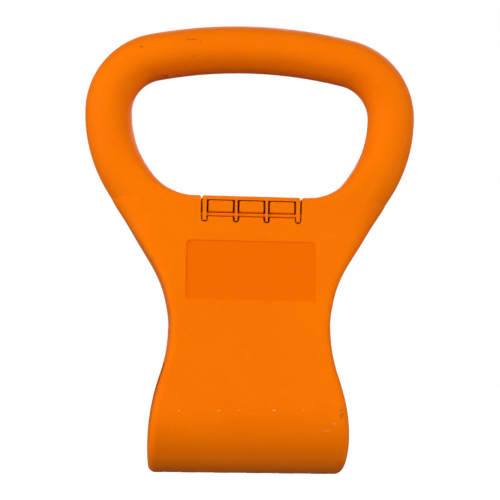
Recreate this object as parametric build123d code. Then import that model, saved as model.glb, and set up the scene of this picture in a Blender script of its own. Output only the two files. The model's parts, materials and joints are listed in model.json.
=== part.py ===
from build123d import *
import os
from math import acos, atan2, cos, degrees, radians, sin, sqrt, tan

# A kettlebell grip: two plastic half shells hinged along the bottom of a foam-lined barrel, which
# close round a dumbbell's handle and carry the kettlebell's looped handle above it.
# Millimetres. +Z up, X along the dumbbell's handle, front at -Y, origin on the floor under the centre.

os.makedirs("parts", exist_ok=True)

# barrel and body
barrel_radius = 33.0
barrel_half_width = 50.6
barrel_widest_z = 13.0
flank_radius = 120.0
waist_half_width = 40.8
waist_z = 74.0
shoulder_arc_share = 0.9568
rim_rounding = 4.0
rounding_grows_from_z = 92.0
face_blend = 24.0

# looped handle
loop_centre_half_width = 74.9
loop_top_z = 222.5
loop_side_drop = 34.9
loop_side_roundness = 1.4911
loop_corner_radius = 30.0
grip_half_width = 12.2
grip_half_depth = 14.75
parting_flat = 0.4

# hand window
window_floor_z = 142.6
window_corner_radius = 27.0
window_lip = 1.5
lip_fade_turn = 30.0
web_step = 0.05
web_sink = 0.4
web_overlap = 0.3
body_top_step = 0.1

# shell walls
shell_wall = 3.0
rib_thickness = 2.0
body_rib_rows = 3
body_rib_columns = (-3, -1, 1, 3)
handle_rib_count = 15
handle_rib_margin = 0.13
parting_gap = 0.15
cradle_radius = 28.5
cradle_wall = 3.0
end_flange = 3.0
end_opening_radius = 24.0
boss_skin = 1.5

# foam liner
bore_radius = 14.0
pad_clearance = 0.3
pad_parting_gap = 0.4
pad_half_length = 38.0

# bottom hinge
knuckle_radius = 4.5
knuckle_count = 12
knuckle_gap = 0.4
knuckle_relief_radius = 8.0
pin_radius = 2.0
pin_clearance = 0.05
cap_radius = 3.2
cap_thickness = 1.6
cap_recess = 1.0
cap_clearance = 0.1

# latch
latch_top_half_width = 25.3
latch_foot_half_width = 25.2
latch_corner = 0.7
latch_gap = 0.9
notch_flare = 0.8
latch_prong_pitch = 15.8
inner_prong_width = 1.3
outer_prong_width = 2.0
prong_depth = 3.0
top_bar_height = 2.1
top_plate_height = 1.3
latch_foot_z = 129.6
slot_floor_z = 128.7
slot_width = 3.4
land_z = 131.6
pivot_radius = 0.9
pivot_z = 132.9
pivot_recess = 1.0
pivot_clearance = 0.05
trunnion_length = 2.2
trunnion_boss = 5.0
boss_below_land = 2.0
boss_above_pivot = 3.0
catch_side_gap = 1.05
catch_height = 5.9
catch_chamfer = 0.6
catch_top_gap = 0.5
catch_recess = 0.3
catch_rounding = 0.8

# name plate recess, left plain
plate_width = 66.8
plate_low_z = 88.3
plate_high_z = 119.2
plate_depth = 0.5
plate_corner = 3.0

# locating pegs between the halves
peg_radius = 2.0
peg_length = 4.0
peg_boss_radius = 4.0
peg_clearance = 0.3

# outline worked out from the sizes above
loop_side_z = loop_top_z - loop_side_drop
loop_side_radius = loop_side_roundness * (loop_side_z - window_floor_z)
side_centre_x = loop_centre_half_width - loop_side_radius
outer_side_radius = loop_side_radius + grip_half_width

# the flank's arc and the lower waist's arc touch, so their radii add up to this
flank_drop = barrel_half_width - waist_half_width
flank_rise = waist_z - barrel_widest_z
arc_sum = (flank_drop ** 2 + flank_rise ** 2) / (2 * flank_drop)
lower_waist_radius = arc_sum - flank_radius
flank_end_z = barrel_widest_z + flank_rise * flank_radius / arc_sum

# the radii of the upper waist's arc and of the handle's outer side arc add up to this share of the way
# between their centres, so a short straight shoulder is left that touches both
share = shoulder_arc_share ** 2
centre_gap = waist_half_width - side_centre_x
centre_rise = loop_side_z - waist_z
half_linear = outer_side_radius - share * centre_gap
constant = outer_side_radius ** 2 - share * (centre_gap ** 2 + centre_rise ** 2)
upper_waist_radius = (sqrt(half_linear ** 2 - (1 - share) * constant) - half_linear) / (1 - share)
shoulder_angle = atan2(centre_rise, centre_gap + upper_waist_radius) - acos(shoulder_arc_share)
shoulder_x = waist_half_width + upper_waist_radius * (1 - cos(shoulder_angle))
shoulder_z = waist_z + upper_waist_radius * sin(shoulder_angle)

# the top arc touches both corner arcs of the handle
corner_x = loop_centre_half_width - loop_corner_radius
top_rise = loop_top_z - loop_side_z
top_radius = corner_x ** 2 + top_rise ** 2 - loop_corner_radius ** 2
top_radius = top_radius / (2 * (top_rise - loop_corner_radius))
corner_turn = degrees(atan2(top_radius - top_rise, corner_x))

# the sloping face bends away from the handle's flat front and touches the barrel
body_top_z = window_floor_z - window_lip - body_top_step
rise_to_top = body_top_z - face_blend / 2 - barrel_radius
face_lean = atan2(barrel_radius, sqrt(rise_to_top ** 2 + grip_half_depth ** 2 - barrel_radius ** 2))
face_lean = face_lean - atan2(grip_half_depth, rise_to_top)
face_touch_z = barrel_radius + barrel_radius * sin(face_lean)

hinge_z = knuckle_radius
knuckle_pitch = 2 * barrel_half_width / knuckle_count


def flank(z):
    """Outer half width of the body at a height."""
    if z < flank_end_z:
        return barrel_half_width - flank_radius + sqrt(flank_radius ** 2 - (z - barrel_widest_z) ** 2)
    if z < waist_z:
        return waist_half_width + lower_waist_radius - sqrt(lower_waist_radius ** 2 - (waist_z - z) ** 2)
    if z < shoulder_z:
        return waist_half_width + upper_waist_radius - sqrt(upper_waist_radius ** 2 - (z - waist_z) ** 2)
    return shoulder_x + (z - shoulder_z) * tan(shoulder_angle)


def face_depth(z):
    """How far the front face is from the parting plane at a height: a slope, upright at the top."""
    below = body_top_z - z
    bent = below ** 2 / (2 * face_blend) if below < face_blend else below - face_blend / 2
    return grip_half_depth + bent * tan(face_lean)


def growth(z):
    """How far the edge rounding has grown towards the handle's round section, from 0 to 1."""
    return max(0.0, (z - rounding_grows_from_z) / (body_top_z - rounding_grows_from_z)) ** 2


def body_section(z, inset):
    """Half of the body's section at a height, in front of the parting plane."""
    full_x = grip_half_width / cos(shoulder_angle)
    full_y = grip_half_depth - parting_flat
    round_x = rim_rounding + (full_x - rim_rounding) * growth(z) - inset
    round_y = rim_rounding + (full_y - rim_rounding) * growth(z) - inset
    half_width = flank(z) - inset
    depth = face_depth(z) - inset
    edge_x = half_width - round_x
    edge_y = depth - round_y
    with BuildSketch(Plane.XY.offset(z)) as section:
        with BuildLine():
            Line((half_width, 0), (-half_width, 0))
            Line((-half_width, 0), (-half_width, -edge_y))
            EllipticalCenterArc((-edge_x, -edge_y), round_x, round_y, 180, arc_size=90)
            Line((-edge_x, -depth), (edge_x, -depth))
            EllipticalCenterArc((edge_x, -edge_y), round_x, round_y, 270, arc_size=90)
            Line((half_width, -edge_y), (half_width, 0))
        make_face()
    return section.sketch


def body_loft(low_z, high_z, inset, first=None, spacing=9.0):
    """The body's front half between two heights, from a first section where one is given."""
    count = max(2, round((high_z - low_z) / spacing))
    heights = [low_z + (high_z - low_z) * i / count for i in range(1, count + 1)]
    return loft([first or body_section(low_z, inset)] + [body_section(z, inset) for z in heights])


def flank_outline(low_z, inset):
    """The barrel's outline in front view from a height up to the waist, moved in by an inset."""
    mid_z = (flank_end_z + waist_z) / 2
    heights = (low_z, barrel_widest_z, flank_end_z, mid_z, waist_z)
    edge = [(flank(z) - inset, z) for z in heights]
    with BuildSketch(Plane.XZ) as outline:
        with BuildLine():
            Line((0, low_z), edge[0])
            ThreePointArc(edge[0], edge[1], edge[2])
            ThreePointArc(edge[2], edge[3], edge[4])
            Line(edge[4], (0, waist_z))
            Line((0, waist_z), (0, low_z))
        make_face()
        mirror(about=Plane.YZ)
    return outline.sketch


def lower_body():
    """The barrel's front half and the body up to the waist, with rounded rims."""
    front = extrude(flank_outline(-1, 0), barrel_radius + 1)
    touch_y = -barrel_radius * cos(face_lean)
    mid_angle = (radians(-90) + face_lean) / 2
    with BuildSketch(Plane.YZ) as side:
        with BuildLine():
            ThreePointArc(
                (0, 0),
                (-barrel_radius * cos(mid_angle), barrel_radius + barrel_radius * sin(mid_angle)),
                (touch_y, face_touch_z),
            )
            Line((touch_y, face_touch_z), (-face_depth(waist_z), waist_z))
            Line((-face_depth(waist_z), waist_z), (0, waist_z))
            Line((0, waist_z), (0, 0))
        make_face()
    body = front & extrude(side.sketch, barrel_half_width + 1, both=True)
    rims = [
        e for e in body.edges()
        if abs(e.center().X) > waist_half_width / 2 and e.center().Y < -0.1 and e.center().Z < waist_z - 0.1
        and abs(e.tangent_at(0.5).Y) < 0.999
    ]
    return fillet(rims, rim_rounding)


def loop_path():
    """The handle's centre line, from inside the right shoulder over to the left one."""
    lean = degrees(shoulder_angle)
    run = 2 * grip_half_depth
    foot_x = side_centre_x + loop_side_radius * cos(shoulder_angle) - run * sin(shoulder_angle)
    foot_z = loop_side_z - loop_side_radius * sin(shoulder_angle) - run * cos(shoulder_angle)
    turns = [
        (loop_side_radius, lean), (loop_corner_radius, corner_turn), (top_radius, 180 - 2 * corner_turn),
        (loop_corner_radius, corner_turn), (loop_side_radius, lean),
    ]
    with BuildLine(Plane.XZ) as path:
        last = PolarLine((foot_x, foot_z), run, direction=(sin(shoulder_angle), cos(shoulder_angle)))
        for radius, turn in turns:
            last = JernArc(last @ 1, last % 1, radius, turn)
        PolarLine(last @ 1, run, direction=last % 1)
    return path.wires()[0]


def handle_loop(inset, low_z):
    """The front half of the round handle above a height."""
    path = loop_path()
    start = Plane(path @ 0, x_dir=(cos(shoulder_angle), 0, -sin(shoulder_angle)), z_dir=path % 0)
    half_width = grip_half_width - inset
    half_depth = grip_half_depth - parting_flat - inset
    with BuildSketch(start) as section:
        with BuildLine():
            Line((half_width, 0), (-half_width, 0))
            Line((-half_width, 0), (-half_width, -parting_flat))
            EllipticalCenterArc((0, -parting_flat), half_width, half_depth, 180, arc_size=180)
            Line((half_width, -parting_flat), (half_width, 0))
        make_face()
    tube = sweep(section.sketch, path)
    return split(tube, bisect_by=Plane.XY.offset(low_z), keep=Keep.TOP)


def lip_section(place, rounding, depth):
    """A strip of wall beside the window, square to its edge, with a rounded front corner."""
    round_x = window_lip + (grip_half_width - window_lip) * rounding
    round_y = window_lip + (grip_half_depth - parting_flat - window_lip) * rounding
    reach = grip_half_width + web_overlap
    with BuildSketch(place) as section:
        with BuildLine():
            Line((reach, 0), (0, 0))
            Line((0, 0), (0, round_y - depth))
            EllipticalCenterArc((round_x, round_y - depth), round_x, round_y, 180, arc_size=90)
            Line((round_x, -depth), (reach, -depth))
            Line((reach, -depth), (reach, 0))
        make_face()
    return section.sketch


def edge_place(centre, radius, angle):
    """A plane square to an arc of the window's edge, with its x axis into the wall."""
    away = (cos(angle), 0, sin(angle))
    origin = (centre[0] + radius * away[0], 0, centre[1] + radius * away[2])
    return Plane(origin, x_dir=away, z_dir=(-away[2], 0, away[0]))


def window_web():
    """The walls under and beside the hand window, whose lip fades into the round handle."""
    inner_radius = loop_side_radius - grip_half_width
    rise = loop_side_z - window_floor_z - window_corner_radius
    across = sqrt((inner_radius - window_corner_radius) ** 2 - rise ** 2)
    corner = (side_centre_x + across, window_floor_z + window_corner_radius)
    touch_angle = -atan2(rise, across)
    depth = grip_half_depth - web_step
    corner_steps = 6
    fade_steps = 4
    fade = radians(lip_fade_turn)
    places = []
    for i in range(corner_steps + 1):
        angle = radians(-90) + (touch_angle + radians(90)) * i / corner_steps
        places.append(edge_place(corner, window_corner_radius, angle))
    for i in range(1, fade_steps + 1):
        sink = web_sink * (i / fade_steps) ** 2
        angle = touch_angle + fade * i / fade_steps
        places.append(edge_place((side_centre_x, loop_side_z), inner_radius + sink, angle))
    last = len(places) - 1
    web = loft([lip_section(place, (i / last) ** 1.5, depth) for i, place in enumerate(places)])
    middle = extrude(lip_section(places[0], 0, depth), -corner[0])
    side = web + middle
    return side + mirror(side, about=Plane.YZ)


def half_form():
    """The front half of the outer form, solid."""
    lower = lower_body()
    waist = lower.faces().sort_by(Axis.Z)[-1]
    form = lower + body_loft(waist_z, body_top_z, 0, first=waist)
    return form + window_web() + handle_loop(0, body_top_z)


def along_x(radius, x_from, x_to, y, z):
    """A cylinder along X between two places."""
    middle = Location(((x_from + x_to) / 2, y, z), (0, 90, 0))
    return middle * Cylinder(radius, x_to - x_from)


def block(x_from, x_to, y_from, y_to, z_from, z_to):
    """A box between two corners."""
    middle = Pos((x_from + x_to) / 2, (y_from + y_to) / 2, (z_from + z_to) / 2)
    return middle * Box(x_to - x_from, y_to - y_from, z_to - z_from)


def hollow():
    """The room inside the front half: body and handle, down to the cradle's wall."""
    top_z = body_top_z - shell_wall
    room = body_loft(face_touch_z, top_z, shell_wall) + handle_loop(shell_wall, top_z)
    return room - along_x(cradle_radius + cradle_wall, -waist_z, waist_z, 0, barrel_radius)


def cradle_trough():
    """The half round trough for the foam, whose end walls follow the flanks."""
    trough = extrude(flank_outline(0, end_flange), barrel_radius)
    return trough & along_x(cradle_radius, -barrel_half_width, barrel_half_width, 0, barrel_radius)


def body_ribs():
    """Crossing stiffening ribs of the body."""
    rib_z_step = 2 * grip_half_depth - 2 * shell_wall
    ribs = []
    for i in range(body_rib_rows):
        z = waist_z + i * rib_z_step
        ribs.append(block(-outer_side_radius, outer_side_radius, -barrel_radius, 0, z, z + rib_thickness))
    for i in body_rib_columns:
        x = i * latch_prong_pitch
        left = x - rib_thickness / 2
        ribs.append(block(left, left + rib_thickness, -barrel_radius, 0, barrel_radius, land_z - slot_width))
    return ribs


def handle_ribs():
    """Stiffening ribs across the handle, square to its centre line."""
    path = loop_path()
    run = 1 - 2 * handle_rib_margin
    ribs = []
    for i in range(handle_rib_count):
        place = path.location_at(handle_rib_margin + run * i / (handle_rib_count - 1))
        size = 2 * grip_half_depth
        ribs.append(place * Box(size, size, rib_thickness))
    return ribs


def peg_places():
    """Where the locating pegs stand: on top of the handle and on each shoulder."""
    shoulder_peg_z = body_top_z + grip_half_depth
    shoulder_peg_x = flank(shoulder_peg_z) - grip_half_width / cos(shoulder_angle)
    return [(0, loop_top_z), (shoulder_peg_x, shoulder_peg_z), (-shoulder_peg_x, shoulder_peg_z)]


def half_shell(form):
    """One half shell's walls, ribs and bosses, before its hinge and latch."""
    room = hollow()
    shell = form - room
    filling = room & (body_ribs() + handle_ribs())
    shell = shell + filling
    for x, z in peg_places():
        boss_length = grip_half_depth - boss_skin
        shell = shell + Pos(x, -boss_length / 2, z) * Rot(90, 0, 0) * Cylinder(peg_boss_radius, boss_length)
    shell = shell - cradle_trough()
    shell = shell - along_x(end_opening_radius, -waist_z, waist_z, 0, barrel_radius)
    above_all = loop_top_z + 2 * grip_half_width
    front_of_gap = block(-waist_z * 2, waist_z * 2, -waist_z, -parting_gap, -1, above_all)
    return shell & front_of_gap


def knuckle_spans(first):
    """The X spans of every second knuckle."""
    spans = []
    for i in range(first, knuckle_count, 2):
        start = -barrel_half_width + i * knuckle_pitch
        spans.append((start, start + knuckle_pitch))
    return spans


def hinge_half(shell, own_first, form):
    """Adds a half's own knuckles and clears room for the other half's."""
    for x_from, x_to in knuckle_spans(1 - own_first):
        shell = shell - along_x(
            knuckle_relief_radius, x_from - knuckle_gap / 2, x_to + knuckle_gap / 2, 0, hinge_z
        )
    whole = form + mirror(form, about=Plane.XZ)
    for x_from, x_to in knuckle_spans(own_first):
        knuckle = along_x(knuckle_radius, x_from + knuckle_gap / 2, x_to - knuckle_gap / 2, 0, hinge_z)
        shell = shell + (knuckle & whole)
    return shell - along_x(pin_radius + pin_clearance, -waist_z, waist_z, 0, hinge_z)


def cap_seat(side):
    """The recess for a pin cap at one end of the barrel."""
    inner = flank(hinge_z) - cap_recess - cap_thickness - cap_clearance
    seat = along_x(cap_radius + cap_clearance, inner, inner + 2 * knuckle_pitch, 0, hinge_z)
    return seat if side > 0 else mirror(seat, about=Plane.YZ)


def latch_outline(grow, corner):
    """The comb's outline in front view, grown by a gap, with its top corners cut, or flared if negative."""
    top_z = window_floor_z + grow
    top_x = latch_top_half_width + grow
    foot_x = latch_foot_half_width + grow
    with BuildSketch(Plane.XZ) as outline:
        with BuildLine():
            Polyline(
                (top_x, top_z - abs(corner)), (top_x - corner, top_z), (corner - top_x, top_z),
                (-top_x, top_z - abs(corner)), (-foot_x, latch_foot_z), (foot_x, latch_foot_z),
                close=True,
            )
        make_face()
    return outline.sketch


def prong_xs():
    """Centres of the comb's four prongs, the outer two moved in to its sides."""
    outer = latch_foot_half_width - outer_prong_width / 2
    return [-outer, -latch_prong_pitch / 2, latch_prong_pitch / 2, outer]


def window_spans():
    """The X spans of the comb's three windows, between its prongs."""
    xs = prong_xs()
    widths = [outer_prong_width, inner_prong_width, inner_prong_width, outer_prong_width]
    return [(xs[i] + widths[i] / 2, xs[i + 1] - widths[i + 1] / 2) for i in range(len(xs) - 1)]


def pivot_y():
    """The comb's pivot lies behind the face by its recess."""
    return -(face_depth(pivot_z) - pivot_recess - pivot_radius)


def latch(form):
    """The comb: top plate, four prongs, and the cross bar that it rocks on."""
    outline = extrude(latch_outline(0, latch_corner), barrel_radius)
    body = outline & form
    front_y = -(grip_half_depth - prong_depth)
    plate_low = window_floor_z - top_plate_height
    plate = body & block(-waist_z, waist_z, front_y, -pad_parting_gap, plate_low, waist_z * 3)
    face = body & block(-waist_z, waist_z, -barrel_radius, front_y, latch_foot_z, waist_z * 3)
    for from_x, to_x in window_spans():
        window = block(from_x, to_x, -barrel_radius, 0, slot_floor_z, window_floor_z - top_bar_height)
        face = face - window
    half_length = latch_foot_half_width + latch_gap + trunnion_length
    bar = along_x(pivot_radius, -half_length, half_length, pivot_y(), pivot_z)
    return plate + face + bar


def latch_seat(shell):
    """Cuts the comb's notch, foot slots and pivot holes in the front shell."""
    notch = extrude(latch_outline(latch_gap, -notch_flare - latch_gap), barrel_radius)
    notch = notch & block(-waist_z, waist_z, -barrel_radius, 0, land_z, waist_z * 3)
    side_x = latch_foot_half_width + latch_gap
    boss_back = pivot_y() + pivot_radius + shell_wall / 2
    boss_low_z = land_z - boss_below_land
    boss_high_z = pivot_z + boss_above_pivot
    for side in (-1, 1):
        boss = block(side_x, side_x + trunnion_boss, -grip_half_depth, boss_back, boss_low_z, boss_high_z)
        boss = boss if side > 0 else mirror(boss, about=Plane.YZ)
        shell = shell + boss
    shell = shell - notch
    slot_depth = prong_depth + shell_wall
    for x in prong_xs():
        middle_y = -face_depth(land_z) + slot_depth / 2 - 1
        slot_end = Pos(x, middle_y, slot_floor_z + slot_width / 2) * Rot(90, 0, 0)
        shell = shell - slot_end * Cylinder(slot_width / 2, slot_depth)
        shell = shell - block(
            x - slot_width / 2, x + slot_width / 2, middle_y - slot_depth / 2, middle_y + slot_depth / 2,
            slot_floor_z + slot_width / 2, land_z + 0.1,
        )
    hole = side_x + trunnion_length + cap_clearance
    return shell - along_x(pivot_radius + pivot_clearance, -hole, hole, pivot_y(), pivot_z)


def catches(form):
    """Three arms of the rear half that reach forward through the comb's windows."""
    high_z = window_floor_z - top_bar_height - catch_top_gap
    low_z = high_z - catch_height
    front_y = -face_depth(high_z) + catch_recess
    back_form = mirror(form, about=Plane.XZ)
    arms = []
    for from_x, to_x in window_spans():
        left = from_x + catch_side_gap
        right = to_x - catch_side_gap
        nose = block(left, right, front_y, shell_wall, low_z, high_z)
        under_front = nose.edges().filter_by(Axis.X).group_by(Axis.Z)[0].sort_by(Axis.Y)[0]
        nose = chamfer(under_front, catch_chamfer)
        nose = fillet(nose.edges().filter_by(Axis.Y).group_by(Axis.Z)[-1], catch_rounding)
        root = block(left, right, parting_gap, grip_half_depth, low_z, window_floor_z)
        arms.append(nose + (root & back_form))
    return arms


def name_plate(form):
    """A shallow rounded recess that follows the sloping face."""
    middle_z = (plate_low_z + plate_high_z) / 2
    lean = degrees(face_lean)
    height = (plate_high_z - plate_low_z) / cos(face_lean)
    place = Location((0, -face_depth(middle_z), middle_z), (90 - lean, 0, 0))
    with BuildSketch() as outline:
        RectangleRounded(plate_width, height, plate_corner)
    return place * extrude(outline.sketch, plate_depth, both=True)


def pad():
    """Half of the foam liner, in front of the parting plane."""
    outer = cradle_radius - pad_clearance
    ring = along_x(outer, -pad_half_length, pad_half_length, 0, barrel_radius)
    ring = ring - along_x(bore_radius, -waist_z, waist_z, 0, barrel_radius)
    ring = ring & block(-waist_z, waist_z, -barrel_radius, -pad_parting_gap, 0, 2 * barrel_radius)
    return ring - along_x(knuckle_relief_radius + pad_clearance, -waist_z, waist_z, 0, hinge_z)


def pin_caps():
    """Push-on caps at both ends of the hinge pin."""
    inner = flank(hinge_z) - cap_recess - cap_thickness
    cap = along_x(cap_radius, inner, inner + cap_thickness, 0, hinge_z)
    return Compound([cap, mirror(cap, about=Plane.YZ)])


def pegs(y_to, radius):
    """The locating pegs, or with a larger radius the room for them."""
    made = []
    for x, z in peg_places():
        middle_y = (y_to - shell_wall) / 2
        made.append(Pos(x, middle_y, z) * Rot(90, 0, 0) * Cylinder(radius, y_to + shell_wall))
    return made


form = half_form()
plain_half = half_shell(form)

front = hinge_half(plain_half, 0, form)
front = latch_seat(front)
front = front - name_plate(form) - cap_seat(-1)
front = front + pegs(peg_length, peg_radius)
export_step(front, "parts/front_shell.step")

rear = mirror(plain_half, about=Plane.XZ)
rear = hinge_half(rear, 1, form)
rear = rear + catches(form)
rear = rear - pegs(peg_length + peg_clearance, peg_radius + peg_clearance) - cap_seat(1)
export_step(rear, "parts/rear_shell.step")

export_step(latch(form), "parts/latch.step")

front_pad = pad()
export_step(front_pad, "parts/front_pad.step")
export_step(mirror(front_pad, about=Plane.XZ), "parts/rear_pad.step")

pin_half_length = flank(hinge_z) - cap_recess - cap_thickness
export_step(along_x(pin_radius, -pin_half_length, pin_half_length, 0, hinge_z), "parts/hinge_pin.step")
export_step(pin_caps(), "parts/pin_caps.step")
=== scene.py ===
import json
from math import asin, cos, hypot, pi, radians, sin

import bmesh
import bpy
from mathutils import Matrix, Quaternion, Vector


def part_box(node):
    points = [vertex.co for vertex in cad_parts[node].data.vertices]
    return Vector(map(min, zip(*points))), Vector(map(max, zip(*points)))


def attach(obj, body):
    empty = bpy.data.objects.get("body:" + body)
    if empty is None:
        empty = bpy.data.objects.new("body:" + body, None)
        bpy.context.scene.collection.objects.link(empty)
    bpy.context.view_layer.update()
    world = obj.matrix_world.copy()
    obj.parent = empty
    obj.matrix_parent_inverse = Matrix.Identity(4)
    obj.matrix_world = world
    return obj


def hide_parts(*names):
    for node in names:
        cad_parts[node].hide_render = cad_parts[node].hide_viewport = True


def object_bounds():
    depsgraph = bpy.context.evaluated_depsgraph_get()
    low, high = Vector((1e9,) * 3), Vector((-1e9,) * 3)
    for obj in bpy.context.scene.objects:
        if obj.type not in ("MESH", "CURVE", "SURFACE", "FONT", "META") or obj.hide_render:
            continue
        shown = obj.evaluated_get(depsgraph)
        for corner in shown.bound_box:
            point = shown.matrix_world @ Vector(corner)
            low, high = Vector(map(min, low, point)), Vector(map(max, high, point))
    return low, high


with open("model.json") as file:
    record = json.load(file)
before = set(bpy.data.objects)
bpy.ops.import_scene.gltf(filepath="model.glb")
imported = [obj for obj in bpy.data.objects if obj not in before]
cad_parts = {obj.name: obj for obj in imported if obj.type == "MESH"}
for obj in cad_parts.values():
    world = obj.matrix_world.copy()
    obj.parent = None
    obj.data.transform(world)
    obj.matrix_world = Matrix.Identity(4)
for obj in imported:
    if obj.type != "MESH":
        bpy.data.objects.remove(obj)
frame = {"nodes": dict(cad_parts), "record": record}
cadLow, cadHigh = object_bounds()
nodes = frame["nodes"]
print("frame loaded:", sorted(nodes))


# short ways to put nodes in a material
def newMaterial(name, roughness, specular=0.5, metallic=0.0):
    material = bpy.data.materials.new(name)
    material.use_nodes = True
    tree = material.node_tree
    shader = tree.nodes["Principled BSDF"]
    shader.inputs["Roughness"].default_value = roughness
    shader.inputs["Specular IOR Level"].default_value = specular
    shader.inputs["Metallic"].default_value = metallic
    return material, tree, shader


def objectCoords(tree):
    return tree.nodes.new("ShaderNodeTexCoord").outputs["Object"]


def stretch(tree, vector, scale):
    node = tree.nodes.new("ShaderNodeMapping")
    node.inputs["Scale"].default_value = scale
    tree.links.new(vector, node.inputs["Vector"])
    return node.outputs["Vector"]


def noise(tree, vector, scale, detail=2.0, roughness=0.5, distortion=0.0):
    node = tree.nodes.new("ShaderNodeTexNoise")
    node.inputs["Scale"].default_value = scale
    node.inputs["Detail"].default_value = detail
    node.inputs["Roughness"].default_value = roughness
    node.inputs["Distortion"].default_value = distortion
    tree.links.new(vector, node.inputs["Vector"])
    return node.outputs["Fac"]


def cells(tree, vector, scale):
    node = tree.nodes.new("ShaderNodeTexVoronoi")
    node.inputs["Scale"].default_value = scale
    tree.links.new(vector, node.inputs["Vector"])
    return node.outputs["Distance"]


def remap(tree, value, fromLow, fromHigh, toLow=0.0, toHigh=1.0):
    node = tree.nodes.new("ShaderNodeMapRange")
    node.interpolation_type = "SMOOTHSTEP"
    node.inputs["From Min"].default_value = fromLow
    node.inputs["From Max"].default_value = fromHigh
    node.inputs["To Min"].default_value = toLow
    node.inputs["To Max"].default_value = toHigh
    tree.links.new(value, node.inputs["Value"])
    return node.outputs["Result"]


def setSockets(tree, node, values):
    for socket, value in zip(node.inputs, values):
        if isinstance(value, (int, float, tuple)):
            socket.default_value = value
        else:
            tree.links.new(value, socket)


def calc(tree, operation, first, second=0.0):
    node = tree.nodes.new("ShaderNodeMath")
    node.operation = operation
    setSockets(tree, node, (first, second))
    return node.outputs["Value"]


def vectorCalc(tree, operation, first, second, output="Vector"):
    node = tree.nodes.new("ShaderNodeVectorMath")
    node.operation = operation
    setSockets(tree, node, (first, second))
    return node.outputs[output]


def blendColours(tree, factor, first, second):
    node = tree.nodes.new("ShaderNodeMix")
    node.data_type = "RGBA"
    tree.links.new(factor, node.inputs[0])
    for socket, value in ((node.inputs[6], first), (node.inputs[7], second)):
        if isinstance(value, tuple):
            socket.default_value = (*value, 1.0)
        else:
            tree.links.new(value, socket)
    return node.outputs[2]


# layers are (height, strength, distance), the deepest first
def addBump(tree, shader, layers):
    normal = None
    for height, strength, distance in layers:
        node = tree.nodes.new("ShaderNodeBump")
        node.inputs["Strength"].default_value = strength
        node.inputs["Distance"].default_value = distance
        tree.links.new(height, node.inputs["Height"])
        if normal is not None:
            tree.links.new(normal, node.inputs["Normal"])
        normal = node.outputs["Normal"]
    tree.links.new(normal, shader.inputs["Normal"])


# 0 on open faces, rising to 1 on sharp edges
def edgeMask(tree, radius, fromLow, fromHigh):
    rounded = tree.nodes.new("ShaderNodeBevel")
    rounded.samples = 6
    rounded.inputs["Radius"].default_value = radius
    plain = tree.nodes.new("ShaderNodeNewGeometry")
    normals = (rounded.outputs["Normal"], plain.outputs["Normal"])
    likeness = vectorCalc(tree, "DOT_PRODUCT", *normals, "Value")
    return remap(tree, calc(tree, "SUBTRACT", 1.0, likeness), fromLow, fromHigh)


# a soft blotch round a place, seen from the front, with a ragged edge
def blotch(tree, coords, ragged, place, size):
    fromCentre = vectorCalc(tree, "SUBTRACT", coords, (place[0], 0.0, place[1]))
    scaled = vectorCalc(tree, "MULTIPLY", fromCentre, (1 / size[0], 0.0, 1 / size[1]))
    distance = vectorCalc(tree, "LENGTH", scaled, (0, 0, 0), "Value")
    return remap(tree, calc(tree, "ADD", distance, ragged), 1.0, 0.35)


# 1 where a distance from the middle is under a half size, 0 past it
def within(tree, distance, halfSize):
    return remap(tree, calc(tree, "ABSOLUTE", distance), halfSize + 0.0001, halfSize - 0.0002)


# 1 inside the plate, seen from the front, 0 outside it and behind
def plateMask(tree, coords, plate):
    fromCentre = vectorCalc(tree, "SUBTRACT", coords, (0.0, 0.0, plate["height"]))
    apart = tree.nodes.new("ShaderNodeSeparateXYZ")
    tree.links.new(fromCentre, apart.inputs["Vector"])
    across = within(tree, apart.outputs["X"], plate["halfWidth"])
    up = within(tree, apart.outputs["Z"], plate["halfHeight"])
    ahead = remap(tree, apart.outputs["Y"], *plate["facing"])
    return calc(tree, "MULTIPLY", calc(tree, "MULTIPLY", across, up), ahead)


raggedScale = 900  # how fine the broken edge of a scuff is


def addMarks(tree, coords, colour, marks, tint):
    ragged = remap(tree, noise(tree, coords, raggedScale, 3, 0.65), 0.3, 0.7, -0.15, 0.75)
    total = None
    for place, size, strength in marks:
        mark = calc(tree, "MULTIPLY", blotch(tree, coords, ragged, place, size), strength)
        total = mark if total is None else calc(tree, "MAXIMUM", total, mark)
    return blendColours(tree, total, colour, tint)


plasticLook = {
    "colour": (0.835, 0.166, 0.0),
    "deepColour": (0.800, 0.150, 0.0),
    "paleColour": (0.92, 0.205, 0.006),
    "driftScale": 14,
    "mottleScale": 330,
    "mottle": 0.35,
    "speckScale": 1500,
    "specks": 0.16,
    "roughness": 0.52,
    "roughSpread": (0.05, -0.07),  # dull and rubbed places, from the roughness
    "rubScale": 38,
    "edgePolish": 0.08,
    "specular": 0.07,
    "specularTint": (1.0, 0.5, 0.15, 1.0),
    "softness": 0.10,
    "softReach": (1.0, 0.25, 0.04),
    "softDepth": 0.0012,
    "grainScale": 2600,
    "grainDepth": 0.00006,
    "grainStrength": 0.3,
    "pebbleScale": 900,
    "pebbleDepth": 0.00008,
    "pebbleStrength": 0.35,
    "edgeRadius": 0.0006,
    "edgeScale": 120,
    "edgeWear": (0.15, 0.7),
    "dark": (0.17, 0.045, 0.006),
    "light": (0.96, 0.42, 0.14),
    "plateColour": (0.77, 0.120, 0.0),
}


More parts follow.
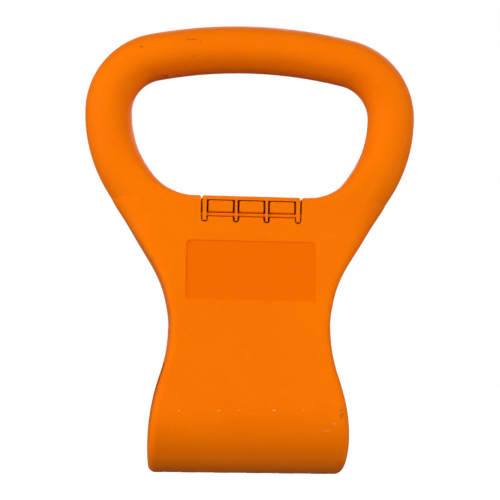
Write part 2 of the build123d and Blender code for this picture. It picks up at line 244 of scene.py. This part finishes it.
def plastic(name, darkMarks=(), lightMarks=(), plate=None):
    look = plasticLook
    material, tree, shader = newMaterial(name, look["roughness"], look["specular"])
    shader.inputs["Specular Tint"].default_value = look["specularTint"]
    # light soaks a little way in, so that narrow gaps glow red
    shader.inputs["Subsurface Weight"].default_value = look["softness"]
    shader.inputs["Subsurface Radius"].default_value = look["softReach"]
    shader.inputs["Subsurface Scale"].default_value = look["softDepth"]
    coords = objectCoords(tree)
    # broad drift of the pigment, then a finer mottle
    drift = remap(tree, noise(tree, coords, look["driftScale"], 3, 0.55, 0.4), 0.3, 0.7)
    colour = blendColours(tree, drift, look["deepColour"], look["colour"])
    mottle = noise(tree, coords, look["mottleScale"], 4, 0.7)
    mottle = remap(tree, mottle, 0.52, 0.8, 0.0, look["mottle"])
    colour = blendColours(tree, mottle, colour, look["paleColour"])
    specks = noise(tree, coords, look["speckScale"], 2, 0.6)
    specks = remap(tree, specks, 0.66, 0.78, 0.0, look["specks"])
    colour = blendColours(tree, specks, colour, look["dark"])
    wear = edgeMask(tree, look["edgeRadius"], 0.03, 0.3)
    patches = noise(tree, coords, look["edgeScale"], 4, 0.7)
    patches = remap(tree, patches, 0.35, 0.7, *look["edgeWear"])
    worn = calc(tree, "MULTIPLY", wear, patches)
    colour = blendColours(tree, worn, colour, look["paleColour"])
    if darkMarks:
        colour = addMarks(tree, coords, colour, darkMarks, look["dark"])
    if lightMarks:
        colour = addMarks(tree, coords, colour, lightMarks, look["light"])
    if plate:
        inside = calc(tree, "MULTIPLY", plateMask(tree, coords, plate), plate["strength"])
        colour = blendColours(tree, inside, colour, look["plateColour"])
    tree.links.new(colour, shader.inputs["Base Color"])
    # handled places are a little smoother
    dull, rubbed = (look["roughness"] + change for change in look["roughSpread"])
    rub = remap(tree, noise(tree, coords, look["rubScale"], 5, 0.6), 0.35, 0.75, dull, rubbed)
    polish = calc(tree, "MULTIPLY", wear, look["edgePolish"])
    tree.links.new(calc(tree, "SUBTRACT", rub, polish), shader.inputs["Roughness"])
    grain = noise(tree, coords, look["grainScale"], 2, 0.5)
    pebble = noise(tree, coords, look["pebbleScale"], 3, 0.55)
    addBump(
        tree,
        shader,
        [
            (pebble, look["pebbleStrength"], look["pebbleDepth"]),
            (grain, look["grainStrength"], look["grainDepth"]),
        ],
    )
    return material


# each mark is (place, size, strength), with places and sizes as (x, z) in metres
frontMarks = {
    "dark": [
        ((-0.0585, 0.2192), (0.0022, 0.0011), 0.8),
        ((-0.0325, 0.2240), (0.0042, 0.0009), 0.7),
        ((-0.0285, 0.2229), (0.0020, 0.0006), 0.6),
        ((-0.0309, 0.2153), (0.0009, 0.0008), 0.75),
        ((-0.0454, 0.2061), (0.0036, 0.0008), 0.6),
        ((0.0454, 0.0318), (0.0022, 0.0052), 0.55),
        ((0.0020, 0.0333), (0.0040, 0.0004), 0.35),
    ],
    "light": [
        ((-0.0356, 0.0325), (0.0012, 0.0005), 0.7),
        ((-0.0164, 0.0328), (0.0014, 0.0005), 0.7),
        ((-0.0060, 0.0330), (0.0010, 0.0004), 0.6),
        ((0.0114, 0.0333), (0.0014, 0.0005), 0.7),
        ((0.0258, 0.0336), (0.0011, 0.0005), 0.65),
        ((0.0378, 0.0235), (0.0026, 0.0012), 0.35),
        ((0.0420, 0.0270), (0.0022, 0.0008), 0.3),
    ],
}
rearMarks = {
    "dark": [
        ((0.0480, 0.2230), (0.0030, 0.0008), 0.6),
        ((-0.0200, 0.2262), (0.0018, 0.0006), 0.6),
        ((-0.0440, 0.0300), (0.0018, 0.0040), 0.45),
    ],
    "light": [
        ((0.0200, 0.0331), (0.0013, 0.0005), 0.6),
        ((-0.0280, 0.0329), (0.0012, 0.0005), 0.6),
        ((0.0020, 0.0333), (0.0016, 0.0005), 0.5),
    ],
}

namePlate = {
    "height": 0.10375,
    "halfWidth": 0.0332,
    "halfHeight": 0.0153,
    "facing": (-0.01, -0.012),  # the mask fades in between these depths
    "strength": 0.7,
}


def dress(node, material):
    nodes[node].data.materials.clear()
    nodes[node].data.materials.append(material)


dress("front_shell", plastic("mouldedFront", frontMarks["dark"], frontMarks["light"], namePlate))
dress("rear_shell", plastic("mouldedRear", rearMarks["dark"], rearMarks["light"]))
dress("latch", plastic("mouldedLatch"))
print("plastic on the shells and the latch")


steelLook = {
    "drawn": {"colour": (0.56, 0.56, 0.58), "dark": (0.38, 0.38, 0.40), "lines": (1, 40, 40)},
    "stamped": {"colour": (0.50, 0.50, 0.52), "dark": (0.30, 0.30, 0.32), "lines": (40, 6, 6)},
    "roughness": 0.34,
    "specular": 0.5,
    "lineScale": 60,
    "tarnishScale": 260,
    "tarnish": 0.5,
    "roughRange": (0.26, 0.46),
    "lineStrength": 0.25,
    "lineDepth": 0.00004,
}


# lines is the stretch that turns noise into draw or roll marks
def steel(name, kind):
    look = steelLook
    colour, dark, lines = look[kind]["colour"], look[kind]["dark"], look[kind]["lines"]
    material, tree, shader = newMaterial(name, look["roughness"], look["specular"], 1.0)
    coords = objectCoords(tree)
    marks = noise(tree, stretch(tree, coords, lines), look["lineScale"], 4, 0.7)
    tarnish = remap(tree, noise(tree, coords, look["tarnishScale"], 4, 0.6), 0.4, 0.75)
    base = blendColours(tree, remap(tree, marks, 0.3, 0.7, 0.0, 0.5), colour, dark)
    base = blendColours(tree, calc(tree, "MULTIPLY", tarnish, look["tarnish"]), base, dark)
    tree.links.new(base, shader.inputs["Base Color"])
    tree.links.new(remap(tree, marks, 0.25, 0.75, *look["roughRange"]), shader.inputs["Roughness"])
    addBump(tree, shader, [(marks, look["lineStrength"], look["lineDepth"])])
    return material


dress("hinge_pin", steel("drawnSteel", "drawn"))
dress("pin_caps", steel("stampedSteel", "stamped"))
print("steel on the hinge pin and its caps")


foamLook = {
    "colour": (0.030, 0.030, 0.032),
    "dusty": (0.060, 0.059, 0.058),
    # painted shade for the inside of the pores, laid over the pore centres
    "paintedPoreShade": (0.012, 0.012, 0.013),
    "roughness": 0.88,
    "roughRange": (0.82, 0.94),
    "specular": 0.25,
    "sheen": 0.15,
    "sheenRoughness": 0.6,
    "cellScale": 1500,
    "cellStrength": 0.5,
    "cellDepth": 0.00015,
    "skinScale": 220,
    "skinStrength": 0.4,
    "skinDepth": 0.0003,
    "dustScale": 45,
}


def foam(name):
    look = foamLook
    material, tree, shader = newMaterial(name, look["roughness"], look["specular"])
    shader.inputs["Sheen Weight"].default_value = look["sheen"]
    shader.inputs["Sheen Roughness"].default_value = look["sheenRoughness"]
    coords = objectCoords(tree)
    pores = cells(tree, coords, look["cellScale"])
    skin = noise(tree, coords, look["skinScale"], 4, 0.6)
    dust = remap(tree, noise(tree, coords, look["dustScale"], 5, 0.65), 0.45, 0.75)
    base = blendColours(tree, dust, look["colour"], look["dusty"])
    # the pore centres are darkened towards this colour: painted shade inside the foam's pores
    base = blendColours(tree, remap(tree, pores, 0.0, 0.35, 0.45, 0.0), base, look["paintedPoreShade"])
    tree.links.new(base, shader.inputs["Base Color"])
    tree.links.new(remap(tree, skin, 0.3, 0.7, *look["roughRange"]), shader.inputs["Roughness"])
    addBump(
        tree,
        shader,
        [
            (skin, look["skinStrength"], look["skinDepth"]),
            (pores, look["cellStrength"], look["cellDepth"]),
        ],
    )
    return material


bore = frame["record"]["mounts"][0]
boreRadius = bore["dims"]["r_mm"] / 1000
boreHeight = bore["pos_m"][2]
hingeHeight = frame["record"]["behaviour"]["joints"][0]["pos_m"][2]

padShape = {
    "lengthCuts": 24,
    "wallCuts": 7,
    "turnSteps": 44,
    "endPull": 0.0011,  # how far the bore's rim draws back at the ends
    "edgePull": 0.0008,  # and beside the parting faces
    "edgeShare": 0.3,  # of the liner's radius, that the second pull reaches
    "endBulge": 0.0009,
    "hingeRoom": 0.0086,  # kept clear round the hinge pin's axis
    "partingRoom": 0.0005,
    "mergeDistance": 0.00001,
    "fill": 1.0,
}


def padPiece(name, node, side, material):
    low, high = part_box(node)
    length = high[0] - low[0]
    outer = high[2] - boreHeight
    wall = outer - boreRadius
    bm = bmesh.new()
    # a slice of the liner's wall, hanging below the bore, then turned half way round it
    bmesh.ops.create_grid(
        bm, x_segments=padShape["lengthCuts"], y_segments=padShape["wallCuts"], size=0.5
    )
    bmesh.ops.scale(bm, vec=(length, wall, 1), verts=bm.verts)
    bmesh.ops.rotate(bm, cent=(0, 0, 0), matrix=Matrix.Rotation(pi / 2, 3, "X"), verts=bm.verts)
    bmesh.ops.translate(bm, vec=(0, 0, boreHeight - boreRadius - wall / 2), verts=bm.verts)
    margin = asin(padShape["partingRoom"] / boreRadius)
    centre = (0, 0, boreHeight)
    startTurn = Matrix.Rotation(side * margin, 3, "X")
    bmesh.ops.rotate(bm, cent=centre, matrix=startTurn, verts=bm.verts)
    bmesh.ops.spin(
        bm,
        geom=bm.verts[:] + bm.edges[:] + bm.faces[:],
        cent=centre,
        axis=(side, 0, 0),
        angle=pi - 2 * margin,
        steps=padShape["turnSteps"],
    )
    bmesh.ops.remove_doubles(bm, verts=bm.verts, dist=padShape["mergeDistance"])
    bmesh.ops.recalc_face_normals(bm, faces=bm.faces)
    for vert in bm.verts:
        x, y, z = vert.co
        radius = hypot(y, z - boreHeight)
        depth = (outer - radius) / wall  # 0 at the outer skin, 1 in the bore
        along = abs(x) / (length / 2)
        fromParting = min(1.0, abs(y) / (padShape["edgeShare"] * outer))
        atEnd = padShape["endPull"] * along ** 10
        atParting = padShape["edgePull"] * (1 - fromParting) ** 3
        newRadius = radius + depth ** 2 * (atEnd + atParting)
        y *= newRadius / radius
        z = boreHeight + (z - boreHeight) / radius * newRadius
        # the end faces stand proud in the middle of their wall
        x -= (1 if x > 0 else -1) * padShape["endBulge"] * (2 * depth - 1) ** 2 * along ** 6
        fromHinge = hypot(y, z - hingeHeight)
        if fromHinge < padShape["hingeRoom"]:
            push = padShape["hingeRoom"] / fromHinge
            y *= push
            z = hingeHeight + (z - hingeHeight) * push
        vert.co = (x, y, z)
    mesh = bpy.data.meshes.new(name)
    bm.to_mesh(mesh)
    bm.free()
    for face in mesh.polygons:
        face.use_smooth = True
    mesh.materials.append(material)
    piece = bpy.data.objects.new(name, mesh)
    bpy.context.scene.collection.objects.link(piece)
    smooth = piece.modifiers.new("round", "SUBSURF")
    smooth.levels = 1
    smooth.render_levels = 1
    return piece


foamMaterial = foam("closedCellFoam")
frontPad = padPiece("frontFoam", "front_pad", -1, foamMaterial)
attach(frontPad, "front_half")
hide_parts("front_pad")
rearPad = padPiece("rearFoam", "rear_pad", 1, foamMaterial)
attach(rearPad, "rear_half")
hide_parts("rear_pad")
print("foam liner made")


floorShape = {
    "size": 60.0,
    "cuts": 4,
    "drop": 0.16,  # room below the grip for the open rear half
    "colour": (0.95, 0.95, 0.95),
    "shade": (0.935, 0.935, 0.94),
    "glow": 0.92,
    "cloudScale": 3,
    "roughness": 0.95,
}


def floorPiece():
    bm = bmesh.new()
    cuts = floorShape["cuts"]
    bmesh.ops.create_grid(bm, x_segments=cuts, y_segments=cuts, size=floorShape["size"] / 2)
    bmesh.ops.translate(bm, vec=(0, 0, -floorShape["drop"]), verts=bm.verts)
    mesh = bpy.data.meshes.new("floor")
    bm.to_mesh(mesh)
    bm.free()
    material, tree, shader = newMaterial("paleFloor", floorShape["roughness"], 0.0)
    coords = objectCoords(tree)
    shader.inputs["Emission Color"].default_value = (1, 1, 1, 1)
    shader.inputs["Emission Strength"].default_value = floorShape["glow"]
    cloud = remap(tree, noise(tree, coords, floorShape["cloudScale"], 2, 0.5), 0.3, 0.7)
    base = blendColours(tree, cloud, floorShape["colour"], floorShape["shade"])
    tree.links.new(base, shader.inputs["Base Color"])
    mesh.materials.append(material)
    floor = bpy.data.objects.new("floor", mesh)
    bpy.context.scene.collection.objects.link(floor)
    # the lights and the room do the lighting, not the floor
    floor.visible_diffuse = False
    floor.visible_glossy = False


floorPiece()

middle = (cadLow + cadHigh) / 2

lights = {
    "highLeft": {"place": (-0.95, -1.15, 1.15), "size": 1.3, "power": 10.0},
    "left": {"place": (-1.4, -0.7, 0.3), "size": 1.3, "power": 19.4},
    "right": {"place": (1.3, -0.8, 0.4), "size": 1.3, "power": 11.2},
    "front": {"place": (0.1, -1.7, 0.05), "size": 1.3, "power": 7.6},
    "low": {"place": (0.1, -1.4, -0.5), "size": 1.3, "power": 8.1},
    "back": {"place": (0.5, 1.4, 1.0), "size": 1.4, "power": 19.0},
}


def addLight(name, settings):
    data = bpy.data.lights.new(name, "AREA")
    data.shape = "SQUARE"
    data.size = settings["size"]
    data.energy = settings["power"]
    light = bpy.data.objects.new(name, data)
    light.location = settings["place"]
    light.rotation_mode = "QUATERNION"
    away = Vector(settings["place"]) - middle
    light.rotation_quaternion = away.to_track_quat("Z", "Y")
    bpy.context.scene.collection.objects.link(light)


for name, settings in lights.items():
    addLight(name, settings)

room = {"glow": 0.16, "backdrop": 1.0}


# soft even light all round, and a white backdrop
def addWorld():
    world = bpy.data.worlds.new("studio")
    bpy.context.scene.world = world
    world.use_nodes = True
    tree = world.node_tree
    tree.nodes.clear()
    output = tree.nodes.new("ShaderNodeOutputWorld")
    lightRays = tree.nodes.new("ShaderNodeLightPath")
    mix = tree.nodes.new("ShaderNodeMixShader")
    glow = tree.nodes.new("ShaderNodeBackground")
    glow.inputs["Strength"].default_value = room["glow"]
    backdrop = tree.nodes.new("ShaderNodeBackground")
    backdrop.inputs["Strength"].default_value = room["backdrop"]
    for shade in (glow, backdrop):
        shade.inputs["Color"].default_value = (1, 1, 1, 1)
    tree.links.new(lightRays.outputs["Is Camera Ray"], mix.inputs[0])
    tree.links.new(glow.outputs["Background"], mix.inputs[1])
    tree.links.new(backdrop.outputs["Background"], mix.inputs[2])
    tree.links.new(mix.outputs["Shader"], output.inputs["Surface"])


addWorld()
bpy.context.scene.view_settings.view_transform = "Standard"

shot = {
    "target": (0.00077, 0.0, 0.11597),
    "distance": 0.75,
    "azimuth": 4.6,
    "elevation": -4.93,
    "roll": 0.97,
    "lens": 102.85,
    "sensor": 36,
    "near": 0.01,
    "far": 200,
}


def addCamera():
    azimuth = radians(shot["azimuth"])
    elevation = radians(shot["elevation"])
    back = Vector((
        -sin(azimuth) * cos(elevation),
        -cos(azimuth) * cos(elevation),
        sin(elevation),
    ))
    data = bpy.data.cameras.new("camera")
    data.lens = shot["lens"]
    data.sensor_width = shot["sensor"]
    data.clip_start = shot["near"]
    data.clip_end = shot["far"]
    camera = bpy.data.objects.new("camera", data)
    camera.location = Vector(shot["target"]) + back * shot["distance"]
    camera.rotation_mode = "QUATERNION"
    roll = Quaternion((0, 0, 1), radians(shot["roll"]))
    camera.rotation_quaternion = back.to_track_quat("Z", "Y") @ roll
    bpy.context.scene.collection.objects.link(camera)
    bpy.context.scene.camera = camera


addCamera()
print("floor, lights and camera set")
